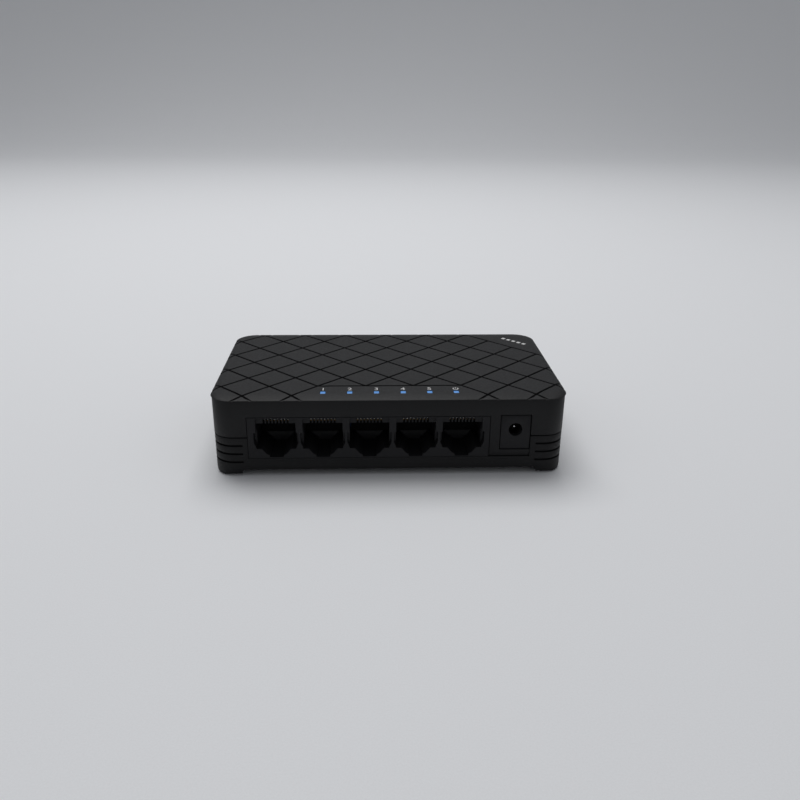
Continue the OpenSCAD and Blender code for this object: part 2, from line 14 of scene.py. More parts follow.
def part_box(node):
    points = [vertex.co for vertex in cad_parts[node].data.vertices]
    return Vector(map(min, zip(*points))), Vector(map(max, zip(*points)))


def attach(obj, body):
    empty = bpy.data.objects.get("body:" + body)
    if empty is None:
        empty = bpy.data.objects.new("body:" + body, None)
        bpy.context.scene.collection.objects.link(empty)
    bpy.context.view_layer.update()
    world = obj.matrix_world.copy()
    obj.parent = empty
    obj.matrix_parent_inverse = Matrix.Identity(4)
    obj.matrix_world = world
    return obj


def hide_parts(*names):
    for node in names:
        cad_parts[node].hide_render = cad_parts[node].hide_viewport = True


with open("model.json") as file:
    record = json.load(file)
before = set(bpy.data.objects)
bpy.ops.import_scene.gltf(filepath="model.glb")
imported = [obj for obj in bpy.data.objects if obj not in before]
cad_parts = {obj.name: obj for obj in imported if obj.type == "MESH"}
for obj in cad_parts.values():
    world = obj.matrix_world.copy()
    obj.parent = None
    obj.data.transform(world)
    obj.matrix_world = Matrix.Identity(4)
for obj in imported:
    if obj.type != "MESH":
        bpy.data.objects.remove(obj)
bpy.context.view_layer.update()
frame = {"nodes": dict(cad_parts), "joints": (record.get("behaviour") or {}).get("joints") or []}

bl_info = {
    "name": "Desktop network switch",
    "version": (1, 0, 0),
    "blender": (4, 5, 0),
    "location": "3D View > Sidebar > Network switch",
    "description": "Builds the shells, sockets, contacts and board of a desktop network switch",
    "category": "Object",
}

MM = 0.001
UP = Vector((0, 0, 1))

COVER_LOW, COVER_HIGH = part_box("top_cover")
BASE_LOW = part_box("base")[0]
BLOCK_LOW, BLOCK_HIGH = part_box("port_block")
SOCKET_LOW, SOCKET_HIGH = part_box("power_socket")
BOARD_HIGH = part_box("circuit_board")[1]
LEADS_LOW, LEADS_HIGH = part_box("contact_leads")
GUIDE_LOW, GUIDE_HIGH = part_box("light_guide")

PORTS = 5
WIRES = 8
WIRE_PITCH = 1.016 * MM
PIVOTS = {j["child"]: Vector(j["pos_m"]) for j in frame["joints"]}
PORT_X = [PIVOTS[f"port_{i + 1}_springs"].x for i in range(PORTS)]

FRONT_CORNER = 6.5 * MM
BACK_CORNER = 7 * MM
OVERHANG = BASE_LOW.x - COVER_LOW.x
WALL = 1.6 * MM
EDGE_Z = COVER_HIGH.z - 0.8 * MM
CEILING_Z = COVER_HIGH.z - 2 * MM
SEAM_Z = 12.9 * MM


# ------------------------------------------------------------------------- sizes and colours

def srgb(code):
    """A hex colour as linear RGB."""
    parts = [int(code[i:i + 2], 16) / 255 for i in (0, 2, 4)]
    return tuple(c / 12.92 if c < 0.04045 else ((c + 0.055) / 1.055) ** 2.4 for c in parts)


class PanelSizes(bpy.types.PropertyGroup):
    """Sizes of the top panel's pattern and edges."""
    diamond: bpy.props.FloatProperty(
        name="Diamond", description="Diagonal of one diamond", default=14.625 * MM,
        unit="LENGTH", precision=5)
    first_row: bpy.props.FloatProperty(
        name="First row", description="Front edge to the first row of crossings",
        default=2.92 * MM, unit="LENGTH", precision=5)
    groove_width: bpy.props.FloatProperty(
        name="Groove width", description="Width of a groove at the surface",
        default=0.66 * MM, unit="LENGTH", precision=5)
    groove_depth: bpy.props.FloatProperty(
        name="Groove depth", description="Depth of a groove", default=0.7 * MM,
        unit="LENGTH", precision=5)
    edge_drop: bpy.props.FloatProperty(
        name="Edge drop", description="How far the panel falls towards its edges",
        default=0.68 * MM, unit="LENGTH", precision=5)
    front_roll: bpy.props.FloatProperty(
        name="Front roll", description="Radius of the roll-off along the front and back",
        default=24 * MM, unit="LENGTH", precision=5)
    side_roll: bpy.props.FloatProperty(
        name="Side roll", description="Radius of the roll-off along the sides",
        default=4 * MM, unit="LENGTH", precision=5)


class ShellColours(bpy.types.PropertyGroup):
    """Colours of the parts that show."""
    cover: bpy.props.FloatVectorProperty(
        name="Upper shell", description="Colour of the upper shell", subtype="COLOR",
        default=srgb("1b1b1c"), min=0, max=1)
    base: bpy.props.FloatVectorProperty(
        name="Lower shell", description="Colour of the lower shell", subtype="COLOR",
        default=srgb("19191a"), min=0, max=1)
    sockets: bpy.props.FloatVectorProperty(
        name="Sockets", description="Colour of the port block and power socket",
        subtype="COLOR", default=srgb("1a1a1c"), min=0, max=1)
    print_ink: bpy.props.FloatVectorProperty(
        name="Print", description="Colour of the printed marks", subtype="COLOR",
        default=srgb("cfcfce"), min=0, max=1)
    indicator: bpy.props.FloatVectorProperty(
        name="Indicators", description="Colour of the lit indicators", subtype="COLOR",
        default=srgb("2c74c4"), min=0, max=1)


# ------------------------------------------------------------------------- node helper

def add(tree, kind, sockets=None, **settings):
    """Adds a node, sets its settings, and fills or links its input sockets."""
    made = tree.nodes.new(kind)
    for key, value in settings.items():
        setattr(made, key, value)
    for key, value in (sockets or {}).items():
        if isinstance(value, bpy.types.NodeSocket):
            tree.links.new(value, made.inputs[key])
        else:
            made.inputs[key].default_value = value
    return made


# ------------------------------------------------------------------------- materials

def blank_material(name):
    """An empty node material and its Principled shader, already wired to the output."""
    material = bpy.data.materials.new(name)
    material.use_nodes = True
    tree = material.node_tree
    tree.nodes.clear()
    shader = add(tree, "ShaderNodeBsdfPrincipled")
    add(tree, "ShaderNodeOutputMaterial", {"Surface": shader.outputs["BSDF"]})
    return material, tree, shader


def speckle(tree, size_mm, detail=2.0, stretch=(1, 1, 1)):
    """Noise in object space whose features are about size_mm across."""
    place = add(tree, "ShaderNodeTexCoord").outputs["Object"]
    if stretch != (1, 1, 1):
        place = add(tree, "ShaderNodeMapping", {"Vector": place, "Scale": stretch})
        place = place.outputs["Vector"]
    noise = add(tree, "ShaderNodeTexNoise",
                {"Vector": place, "Scale": 1 / (size_mm * MM), "Detail": detail})
    return noise.outputs["Fac"]


def varied(tree, amount, low, high):
    """A number from low to high that follows amount."""
    return add(tree, "ShaderNodeMapRange",
               {"Value": amount, "From Min": 0.3, "From Max": 0.7, "To Min": low,
                "To Max": high}).outputs["Result"]


def shaded(tree, amount, colour, spread):
    """The colour, darker and lighter by spread as amount changes."""
    dark = (*[c * (1 - spread) for c in colour], 1)
    light = (*[min(1, c * (1 + spread)) for c in colour], 1)
    return add(tree, "ShaderNodeMix",
               {"Factor": amount, 6: dark, 7: light}, data_type="RGBA").outputs[2]


def bumped(tree, height, depth_mm):
    """A normal that follows height, depth_mm from its lowest to its highest."""
    return add(tree, "ShaderNodeBump",
               {"Height": height, "Strength": 1.0, "Distance": depth_mm * MM}).outputs["Normal"]


def moulded_plastic(name, colour, grain_mm, depth_mm, roughness, spread=0.18):
    """Injection-moulded plastic. The mould's spark-eroded texture breaks up its sheen, and slow
    flow marks make the colour drift a little."""
    material, tree, shader = blank_material(name)
    grain = speckle(tree, grain_mm)
    flow = speckle(tree, 16, detail=3)
    tree.links.new(shaded(tree, flow, colour, spread), shader.inputs["Base Color"])
    tree.links.new(varied(tree, grain, roughness - 0.05, roughness + 0.06),
                   shader.inputs["Roughness"])
    tree.links.new(bumped(tree, grain, depth_mm), shader.inputs["Normal"])
    shader.inputs["IOR"].default_value = 1.5
    shader.inputs["Specular IOR Level"].default_value = 0.19
    return material


def plated_metal(name, colour, roughness, stretch=(1, 1, 1)):
    """Plated or drawn metal. Fine drawing lines along stretch's smallest axis catch the light."""
    material, tree, shader = blank_material(name)
    lines = speckle(tree, 0.3, detail=3, stretch=stretch)
    tree.links.new(shaded(tree, lines, colour, 0.08), shader.inputs["Base Color"])
    tree.links.new(varied(tree, lines, roughness * 0.75, roughness * 1.3),
                   shader.inputs["Roughness"])
    tree.links.new(bumped(tree, lines, 0.004), shader.inputs["Normal"])
    shader.inputs["Metallic"].default_value = 1.0
    return material


def soft_rubber(name, colour):
    """Silicone rubber pad. Dull, with dust-fine speckle that keeps it from looking wet."""
    material, tree, shader = blank_material(name)
    grain = speckle(tree, 0.35, detail=4)
    tree.links.new(shaded(tree, grain, colour, 0.25), shader.inputs["Base Color"])
    tree.links.new(bumped(tree, grain, 0.02), shader.inputs["Normal"])
    shader.inputs["Roughness"].default_value = 0.85
    return material


def lit_acrylic(name, colour):
    """Clear acrylic light guide with its indicators on. The light gathers at the upper ends."""
    material, tree, shader = blank_material(name)
    place = add(tree, "ShaderNodeTexCoord").outputs["Object"]
    height = add(tree, "ShaderNodeSeparateXYZ", {"Vector": place}).outputs["Z"]
    glow = add(tree, "ShaderNodeMapRange",
               {"Value": height, "From Min": GUIDE_LOW.z, "From Max": GUIDE_HIGH.z,
                "To Min": 0.02, "To Max": 0.6}).outputs["Result"]
    cloud = speckle(tree, 0.5)
    tree.links.new(shaded(tree, cloud, (0.1, 0.2, 0.34), 0.06), shader.inputs["Base Color"])
    tree.links.new(glow, shader.inputs["Emission Strength"])
    shader.inputs["Emission Color"].default_value = (*colour, 1)
    shader.inputs["Roughness"].default_value = 0.35
    shader.inputs["IOR"].default_value = 1.49
    return material


def solder_mask(name):
    """Green solder mask over copper. Tracks show as slightly lighter, raised bands."""
    material, tree, shader = blank_material(name)
    place = add(tree, "ShaderNodeTexCoord").outputs["Object"]
    tracks = add(tree, "ShaderNodeTexBrick",
                 {"Vector": place, "Scale": 1 / (12 * MM), "Mortar Size": 0.03,
                  "Color1": (1, 1, 1, 1), "Color2": (0.7, 0.7, 0.7, 1),
                  "Mortar": (0, 0, 0, 1)}).outputs["Fac"]
    tree.links.new(shaded(tree, tracks, srgb("1c5a38"), 0.35), shader.inputs["Base Color"])
    tree.links.new(bumped(tree, tracks, 0.03), shader.inputs["Normal"])
    shader.inputs["Roughness"].default_value = 0.3
    shader.inputs["Coat Weight"].default_value = 0.4
    return material


def printed_film(name, colour, roughness):
    """Pad-printed ink or label film. Even and slightly chalky, with faint unevenness."""
    material, tree, shader = blank_material(name)
    grain = speckle(tree, 0.4, detail=3)
    tree.links.new(shaded(tree, grain, colour, 0.05), shader.inputs["Base Color"])
    shader.inputs["Roughness"].default_value = roughness
    return material


def make_finishes(colours):
    """Every finish of the object, by the record's slot, with the printed ink besides."""
    return {
        "cover_plastic": moulded_plastic("textured_abs_cover", colours.cover, 0.45, 0.02, 0.5),
        "base_plastic": moulded_plastic("textured_abs_base", colours.base, 0.45, 0.02, 0.52),
        "socket_plastic": moulded_plastic("smooth_pbt_block", colours.sockets, 0.9, 0.006, 0.45),
        "power_socket_plastic": moulded_plastic("smooth_pbt_power", colours.sockets, 0.9, 0.006,
                                                0.4),
        "insert_plastic": moulded_plastic("smooth_nylon_insert", srgb("0a0a0b"), 0.9, 0.006, 0.8),
        "foot_rubber": soft_rubber("silicone_rubber", srgb("26262a")),
        "screw_steel": plated_metal("zinc_plated_steel", srgb("a9a9ad"), 0.32),
        "board_laminate": solder_mask("green_solder_mask"),
        # The wires' gold is painted darker than gold: painted shade for the deep shadow inside
        # the sockets.
        "contact_gold": plated_metal("gold_flashed_bronze", srgb("6e5836"), 0.4,
                                     stretch=(1, 0.2, 1)),
        "pin_nickel": plated_metal("bright_nickel", srgb("c9c9cc"), 0.12, stretch=(1, 0.2, 1)),
        "spring_bronze": plated_metal("tinned_bronze", srgb("b8b2a4"), 0.3),
        "tinned_lead": plated_metal("tinned_copper", srgb("b5b5b2"), 0.35),
        "clear_acrylic": lit_acrylic("lit_clear_acrylic", colours.indicator),
        "led_body": moulded_plastic("diode_resin", srgb("e4dfc4"), 0.3, 0.002, 0.3, 0.05),
        "chip_epoxy": moulded_plastic("moulding_epoxy", srgb("17171a"), 0.15, 0.006, 0.6),
        "can_steel": plated_metal("drawn_steel_can", srgb("adadb0"), 0.28),
        "can_aluminium": plated_metal("drawn_aluminium_can", srgb("a8aab0"), 0.3,
                                      stretch=(1, 1, 0.1)),
        "ferrite": moulded_plastic("sintered_ferrite", srgb("34343a"), 0.2, 0.02, 0.7),
        "ceramic": moulded_plastic("fired_ceramic", srgb("b79c78"), 0.2, 0.004, 0.55, 0.1),
        "blue_epoxy": moulded_plastic("dipped_epoxy", srgb("24549a"), 1.2, 0.03, 0.3, 0.1),
        "label_film": printed_film("matt_label_film", srgb("d6d6d2"), 0.6),
        "ink": printed_film("pad_printed_ink", colours.print_ink, 0.55),
    }


FINISHES = {}


def finish(slot):
    """The material of a slot. All are made at the first call, and kept."""
    if not FINISHES:
        FINISHES.update(make_finishes(bpy.context.scene.switch_colours))
    return FINISHES[slot]


# ------------------------------------------------------------------------- mesh helpers

def new_object(name, mesh, material=None):
    """Links a mesh to the scene as an object, with one material."""
    made = bpy.data.objects.new(name, mesh)
    bpy.context.scene.collection.objects.link(made)
    if material:
        mesh.materials.clear()
        mesh.materials.append(material)
    return made


def mesh_from(bm, name):
    """A mesh from a bmesh, which is freed."""
    mesh = bpy.data.meshes.new(name)
    bm.to_mesh(mesh)
    bm.free()
    return mesh


def applied(obj):
    """Makes what the modifiers give the object's own mesh."""
    graph = bpy.context.evaluated_depsgraph_get()
    mesh = bpy.data.meshes.new_from_object(obj.evaluated_get(graph))
    obj.modifiers.clear()
    obj.data = mesh
    return obj


def discard(*objects):
    """Removes helper objects."""
    for obj in objects:
        bpy.data.objects.remove(obj, do_unlink=True)


def smooth(obj, angle=32):
    """Smooth shading that stops at edges sharper than angle."""
    obj.data.shade_smooth()
    obj.data.set_sharp_from_angle(angle=math.radians(angle))


def bevel(obj, width_mm, segments=2, angle=35):
    """Rounds the sharp edges, as a mould does."""
    rounding = obj.modifiers.new("Edge rounding", "BEVEL")
    rounding.width = width_mm * MM
    rounding.segments = segments
    rounding.limit_method = "ANGLE"
    rounding.angle_limit = math.radians(angle)
    return applied(obj)


def combine(obj, operation, *others):
    """Unites others with obj or takes them away from it, and discards them."""
    for other in others:
        step = obj.modifiers.new("Combine", "BOOLEAN")
        step.operation = operation
        step.solver = "EXACT"
        step.object = other
    applied(obj).data.validate()
    discard(*others)
    return obj


def merge_flat_faces(obj):
    """Welds corners that coincide, then merges faces that lie in one plane."""
    bm = bmesh.new()
    bm.from_mesh(obj.data)
    weld = 0.002 * MM
    bmesh.ops.remove_doubles(bm, verts=bm.verts, dist=weld)
    bmesh.ops.dissolve_degenerate(bm, dist=weld, edges=bm.edges)
    bmesh.ops.dissolve_limit(bm, angle_limit=math.radians(1), verts=bm.verts, edges=bm.edges)
    bm.to_mesh(obj.data)
    bm.free()


def joined(name, objects):
    """One object from several, with the first one's material."""
    bm = bmesh.new()
    for obj in objects:
        bm.from_mesh(obj.data)
    made = new_object(name, mesh_from(bm, name), objects[0].data.materials[0])
    made.data.validate()
    discard(*objects)
    return made


def block(low, high):
    """A box between two corners."""
    bm = bmesh.new()
    bmesh.ops.create_cube(bm, size=1)
    size = Vector(high) - Vector(low)
    middle = (Vector(high) + Vector(low)) / 2
    bm.transform(Matrix.Translation(middle) @ Matrix.Diagonal((*size, 1)))
    return new_object("block", mesh_from(bm, "block"))


def tube(centre, radius, z0, z1):
    """An upright cylinder."""
    bm = bmesh.new()
    bmesh.ops.create_cone(bm, cap_ends=True, segments=32, radius1=radius, radius2=radius,
                          depth=z1 - z0)
    bm.transform(Matrix.Translation((centre[0], centre[1], (z0 + z1) / 2)))
    return new_object("tube", mesh_from(bm, "tube"))


def turned(name, profile, material=None, steps=32):
    """A solid of revolution about Y from (radius, y) points, the first and last on the axis."""
    bm = bmesh.new()
    made = [bm.verts.new((r, y, 0)) for r, y in profile]
    for a, b in zip(made, made[1:]):
        bm.edges.new((a, b))
    bmesh.ops.spin(bm, geom=bm.verts[:] + bm.edges[:], axis=(0, 1, 0), cent=(0, 0, 0),
                   steps=steps, angle=2 * math.pi)
    bmesh.ops.remove_doubles(bm, verts=bm.verts, dist=1e-7)
    bmesh.ops.recalc_face_normals(bm, faces=bm.faces)
    return new_object(name, mesh_from(bm, name), material)


def outline(inset, steps=10):
    """The case's plan as points, drawn in by inset from the top panel's edge."""
    half_w = COVER_HIGH.x - inset
    half_d = COVER_HIGH.y - inset
    points = []
    for side, end, radius, start in ((1, -1, FRONT_CORNER, -90), (1, 1, BACK_CORNER, 0),
                                     (-1, 1, BACK_CORNER, 90), (-1, -1, FRONT_CORNER, 180)):
        r = radius - inset
        for k in range(steps + 1):
            angle = math.radians(start + 90 * k / steps)
            points.append((side * (half_w - r) + r * math.cos(angle),
                           end * (half_d - r) + r * math.sin(angle)))
    return points


def prism(points, z0, z1):
    """An upright solid on a plan outline."""
    bm = bmesh.new()
    low = [bm.verts.new((x, y, z0)) for x, y in points]
    high = [bm.verts.new((x, y, z1)) for x, y in points]
    bm.faces.new(low[::-1])
    bm.faces.new(high)
    for k in range(len(points)):
        n = (k + 1) % len(points)
        bm.faces.new((low[k], low[n], high[n], high[k]))
    return new_object("prism", mesh_from(bm, "prism"))


def softened(node, name, slot, width_mm, segments=2):
    """A copy of a CAD node of the case with merged faces and rounded edges, in its place."""
    bm = bmesh.new()
    bm.from_mesh(frame["nodes"][node].data)
    bmesh.ops.remove_doubles(bm, verts=bm.verts, dist=1e-6)
    bmesh.ops.dissolve_limit(bm, angle_limit=math.radians(0.4), verts=bm.verts, edges=bm.edges)
    obj = new_object(name, mesh_from(bm, name), finish(slot))
    bevel(obj, width_mm, segments)
    smooth(obj)
    settle(obj, "case", slot, node)


def settle(obj, body, slot, *nodes):
    """Seats a finished piece on its body and hides the CAD nodes that it stands for. The slot is
    not used.
    """
    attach(obj, body)
    if nodes:
        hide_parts(*nodes)


# ------------------------------------------------------------------------- geometry nodes

def new_tree(name, inputs):
    """A geometry node tree with the given named inputs, as (name, kind of socket)."""
    tree = bpy.data.node_groups.new(name, "GeometryNodeTree")
    tree.interface.new_socket("Geometry", in_out="INPUT", socket_type="NodeSocketGeometry")
    tree.interface.new_socket("Geometry", in_out="OUTPUT", socket_type="NodeSocketGeometry")
    for label, kind in inputs:
        tree.interface.new_socket(label, in_out="INPUT", socket_type="NodeSocket" + kind)
    return tree, add(tree, "NodeGroupInput"), add(tree, "NodeGroupOutput")


def run_tree(obj, tree, **values):
    """Runs a tree on an object with its named inputs and keeps the mesh that it makes."""
    step = obj.modifiers.new(tree.name, "NODES")
    step.node_group = tree
    for item in tree.interface.items_tree:
        key = item.name.lower().replace(" ", "_")
        if item.item_type == "SOCKET" and item.in_out == "INPUT" and key in values:
            step[item.identifier] = values[key]
    return applied(obj)


def place_copies(tree, shape, places, finish_socket):
    """Instances of a shape at the places' points, turned by their turn attribute."""
    points = add(tree, "GeometryNodeObjectInfo", {"Object": places}).outputs["Geometry"]
    turn = add(tree, "GeometryNodeInputNamedAttribute", {"Name": "turn"}, data_type="FLOAT")
    spin = add(tree, "ShaderNodeCombineXYZ", {"Z": turn.outputs["Attribute"]})
    copies = add(tree, "GeometryNodeInstanceOnPoints",
                 {"Points": points, "Instance": shape, "Rotation": spin.outputs["Vector"]})
    real = add(tree, "GeometryNodeRealizeInstances", {"Geometry": copies.outputs["Instances"]})
    return add(tree, "GeometryNodeSetMaterial",
               {"Geometry": real.outputs["Geometry"], "Material": finish_socket}).outputs[0]


def copies_tree():
    """Puts copies of the object's own mesh at the points of another object."""
    tree, given, result = new_tree("Copies at places", [
        ("Places", "Object"), ("Finish", "Material")])
    out = place_copies(tree, given.outputs["Geometry"], given.outputs["Places"],
                       given.outputs["Finish"])
    tree.links.new(out, result.inputs[0])
    return tree


def wires_tree():
    """Sweeps a flat or square wire along the object's own path and copies it to places."""
    tree, given, result = new_tree("Wires at places", [
        ("Places", "Object"), ("Finish", "Material"), ("Width", "Float"),
        ("Thickness", "Float"), ("Bend", "Float")])
    path = add(tree, "GeometryNodeMeshToCurve", {"Mesh": given.outputs["Geometry"]})
    bent = rounded(tree, path, given.outputs["Bend"], 4)
    section = add(tree, "GeometryNodeCurvePrimitiveQuadrilateral",
                  {"Width": given.outputs["Width"], "Height": given.outputs["Thickness"]})
    edge = add(tree, "ShaderNodeMath", {0: given.outputs["Thickness"], 1: 0.22},
               operation="MULTIPLY")
    soft_section = rounded(tree, section, edge.outputs[0], 2)
    swept = add(tree, "GeometryNodeCurveToMesh",
                {"Curve": bent.outputs["Curve"], "Profile Curve": soft_section.outputs["Curve"],
                 "Fill Caps": True})
    out = place_copies(tree, swept.outputs["Mesh"], given.outputs["Places"],
                       given.outputs["Finish"])
    tree.links.new(out, result.inputs[0])
    return tree


def rounded(tree, polyline, radius, count):
    """Rounds a polyline's corners with count points each."""
    return add(tree, "GeometryNodeFilletCurve",
               {"Curve": polyline.outputs["Curve"], "Radius": radius, "Count": count,
                "Limit Radius": True}, mode="POLY")


def pressed_panel_tree():
    """Lowers a flat panel by its edge roll-off and its grooves."""
    tree, given, result = new_tree("Pressed panel", [
        ("Groove depth", "Float"), ("Edge drop", "Float"), ("Front roll", "Float"),
        ("Side roll", "Float")])

    def math_node(operation, first, second=0.0):
        return add(tree, "ShaderNodeMath", {0: first, 1: second}, operation=operation).outputs[0]

    def stored(name):
        """A number that the panel's mesh holds for each of its points."""
        found = add(tree, "GeometryNodeInputNamedAttribute", {"Name": name}, data_type="FLOAT")
        return found.outputs["Attribute"]

    def roll_drop(radius):
        """How far a round of the given radius has fallen at a point near the edge."""
        squared = math_node("POWER", radius, 2.0)
        low = math_node("SUBTRACT", radius, given.outputs["Edge drop"])
        run = math_node("SQRT", math_node("SUBTRACT", squared, math_node("POWER", low, 2.0)))
        past = math_node("MAXIMUM", math_node("SUBTRACT", run, stored("inset")), 0.0)
        height = math_node("SQRT", math_node("SUBTRACT", squared, math_node("POWER", past, 2.0)))
        return math_node("SUBTRACT", radius, height)

    front = math_node("MULTIPLY", roll_drop(given.outputs["Front roll"]), stored("facing_front"))
    side_share = math_node("SUBTRACT", 1.0, stored("facing_front"))
    side = math_node("MULTIPLY", roll_drop(given.outputs["Side roll"]), side_share)
    groove = math_node("MULTIPLY", stored("groove"), given.outputs["Groove depth"])
    drop = math_node("ADD", math_node("ADD", front, side), groove)
    offset = add(tree, "ShaderNodeCombineXYZ", {"Z": math_node("MULTIPLY", drop, -1.0)})
    moved = add(tree, "GeometryNodeSetPosition",
                {"Geometry": given.outputs["Geometry"], "Offset": offset.outputs["Vector"]})
    tree.links.new(moved.outputs[0], result.inputs[0])
    return tree


def places_object(points, turns=None):
    """An object whose points are the given places, each with its turn about Z."""
    mesh = bpy.data.meshes.new("places")
    mesh.from_pydata([tuple(p) for p in points], [], [])
    turn = mesh.attributes.new("turn", "FLOAT", "POINT")
    turn.data.foreach_set("value", turns or [0.0] * len(points))
    return new_object("places", mesh)


def copies(shape, name, slot, points, turns=None):
    """Copies of a shape at points, as one plain mesh."""
    places = places_object(points, turns)
    shape.name = name
    run_tree(shape, copies_tree(), places=places, finish=finish(slot))
    discard(places)
    return shape


def wires(name, slot, path, points, width, thickness, bend, turns=None):
    """Wires swept along a path and copied to points, as one plain mesh."""
    mesh = bpy.data.meshes.new(name)
    mesh.from_pydata([tuple(p) for p in path], [(k, k + 1) for k in range(len(path) - 1)], [])
    obj = new_object(name, mesh)
    places = places_object(points, turns)
    run_tree(obj, wires_tree(), places=places, finish=finish(slot), width=width,
             thickness=thickness, bend=bend)
    discard(places)
    smooth(obj, 40)
    return obj


# ------------------------------------------------------------------------- upper shell

# A groove's section: distances from its middle as shares of its width, each with its share of
# the full depth. The lips are soft and the floor is flat.
GROOVE_STEPS = ((0.62, 0.0), (0.52, 0.12), (0.47, 0.9), (0.34, 1.0))
# The panel's rim from the top down: how far out, and how high above the walls, as shares.
RIM_STEPS = ((0.65, 0.72), (1.0, 0.42), (1.0, 0.2), (0.4, 0.0))
EDGE_LAND = 0.08 * MM
# Where the mesh is cut along the roll-off, as shares of its run.
ROLL_CUTS = (0.08, 0.18, 0.3, 0.42, 0.56, 0.72, 0.88, 1.05)
GROOVE_FADE = 1.6 * MM
RIM_DEPTH = 0.4
WINDOWS = 6


def edge_facts(x, y):
    """How far a point is inside the panel's edge, and the edge's outward direction there."""
    half_w, half_d = COVER_HIGH.x, COVER_HIGH.y
    side = math.copysign(1, x)
    end = math.copysign(1, y)
    radius = FRONT_CORNER if y < 0 else BACK_CORNER
    past_x = abs(x) - (half_w - radius)
    past_y = abs(y) - (half_d - radius)
    if past_x > 0 and past_y > 0:
        reach = math.hypot(past_x, past_y)
        return radius - reach, Vector((side * past_x / reach, end * past_y / reach))
    if half_w - abs(x) < half_d - abs(y):
        return half_w - abs(x), Vector((side, 0))
    return half_d - abs(y), Vector((0, end))


class GrooveRule:
    """Where the diamond grooves run, and which parts of the panel they leave plain."""

    def __init__(self, sizes):
        self.step = sizes.diamond
        self.row_y = COVER_LOW.y + sizes.first_row
        self.strip_x = 1.5 * sizes.diamond
        self.strip_y = self.row_y + sizes.diamond / 2
        self.width = sizes.groove_width
        self.clear = GROOVE_STEPS[-1][0] * sizes.groove_width * math.sqrt(2) * 0.98

    def line(self, k):
        """Where the k-th diagonal groove meets X = 0."""
        return self.row_y + k * self.step

    def in_strip(self, x, y):
        """Inside the plain strip at the front edge that holds the indicators."""
        low, high = self.line(-2) + self.clear, self.line(2) - self.clear
        inside = all(low < s < high for s in (y + x, y - x))
        return inside and y < self.strip_y - self.clear / 2

    def in_corner(self, x, y):
        """Inside the plain back corner that holds the mark."""
        return x + y > self.line(6) + self.clear

    def profile(self, distance):
        """Share of the full depth at a distance from a groove's middle."""
        steps = [(share * self.width, depth) for share, depth in GROOVE_STEPS]
        if distance >= steps[0][0]:
            return 0.0
        for (far, shallow), (near, deep) in zip(steps, steps[1:]):
            if distance >= near:
                return shallow + (deep - shallow) * (far - distance) / (far - near)
        return 1.0

    def depth(self, x, y):
        """Share of the full depth at a point of the panel."""
        strip, corner = self.in_strip(x, y), self.in_corner(x, y)
        best = 0.0
        for total, rising in ((y + x, False), (y - x, True)):
            k = round((total - self.row_y) / self.step)
            if strip and abs(k) != 2:
                continue
            if corner and (rising or k != 6):
                continue
            best = max(best, self.profile(abs(total - self.line(k)) / math.sqrt(2)))
        if abs(x) < self.strip_x + 0.01 * MM:
            best = max(best, self.profile(abs(y - self.strip_y)))
        return best

    def cuts(self):
        """Plan lines that the panel's mesh is cut along, as (distance, direction)."""
        diagonal = 1 / math.sqrt(2)
        for k in range(-4, 9):
            for share, _ in GROOVE_STEPS:
                for sign in (-1, 1):
                    at = self.line(k) * diagonal + sign * share * self.width
                    yield at, Vector((diagonal, diagonal, 0))
                    yield at, Vector((-diagonal, diagonal, 0))

    def strip_cuts(self):
        """Heights on the plan that the straight groove's own stretch is cut along."""
        return [self.strip_y + sign * share * self.width
                for share, _ in GROOVE_STEPS for sign in (-1, 1)]

    def crosses_strip(self, face, at):
        """Whether the line y = at crosses a face within the straight groove's stretch."""
        crossings = []
        for a, b in ([v.co for v in e.verts] for e in face.edges):
            if (a.y - at) * (b.y - at) < 0:
                crossings.append(a.x + (at - a.y) / (b.y - a.y) * (b.x - a.x))
        return bool(crossings) and max(map(abs, crossings)) < self.strip_x + self.width


def make_panel(sizes):
    """The top panel as a closed solid: grooved, rolled off, with a rounded rim."""
    rule = GrooveRule(sizes)
    bm = bmesh.new()
    bm.faces.new([bm.verts.new((x, y, COVER_HIGH.z)) for x, y in outline(EDGE_LAND, 14)])
    run = math.sqrt(sizes.front_roll ** 2 - (sizes.front_roll - sizes.edge_drop) ** 2)
    lines = list(rule.cuts())
    for share in ROLL_CUTS:
        for half, direction in ((COVER_HIGH.x, (1, 0, 0)), (COVER_HIGH.y, (0, 1, 0))):
            for sign in (-1, 1):
                lines.append((sign * (half - share * run), Vector(direction)))
    for at, direction in lines:
        bmesh.ops.bisect_plane(bm, geom=bm.verts[:] + bm.edges[:] + bm.faces[:], dist=1e-8,
                               plane_co=direction * at, plane_no=direction)
    for at in rule.strip_cuts():
        faces = [f for f in bm.faces if rule.crosses_strip(f, at)]
        edges = list({e for f in faces for e in f.edges})
        verts = list({v for f in faces for v in f.verts})
        bmesh.ops.bisect_plane(bm, geom=verts + edges + faces, dist=1e-8, plane_co=(0, at, 0),
                               plane_no=(0, 1, 0))
    bmesh.ops.remove_doubles(bm, verts=bm.verts, dist=1.5e-5)
    facts = {name: [] for name in ("inset", "facing_front", "groove")}
    for v in bm.verts:
        inset, outward = edge_facts(v.co.x, v.co.y)
        fade = min(1.0, RIM_DEPTH + inset / GROOVE_FADE)
        facts["inset"].append(inset)
        facts["facing_front"].append(outward.y ** 2)
        facts["groove"].append(rule.depth(v.co.x, v.co.y) * fade)
    mesh = mesh_from(bm, "panel")
    for name, values in facts.items():
        mesh.attributes.new(name, "FLOAT", "POINT").data.foreach_set("value", values)
    panel = new_object("panel", mesh)
    run_tree(panel, pressed_panel_tree(), groove_depth=sizes.groove_depth,
             edge_drop=sizes.edge_drop, front_roll=sizes.front_roll, side_roll=sizes.side_roll)
    close_panel(panel)
    return panel


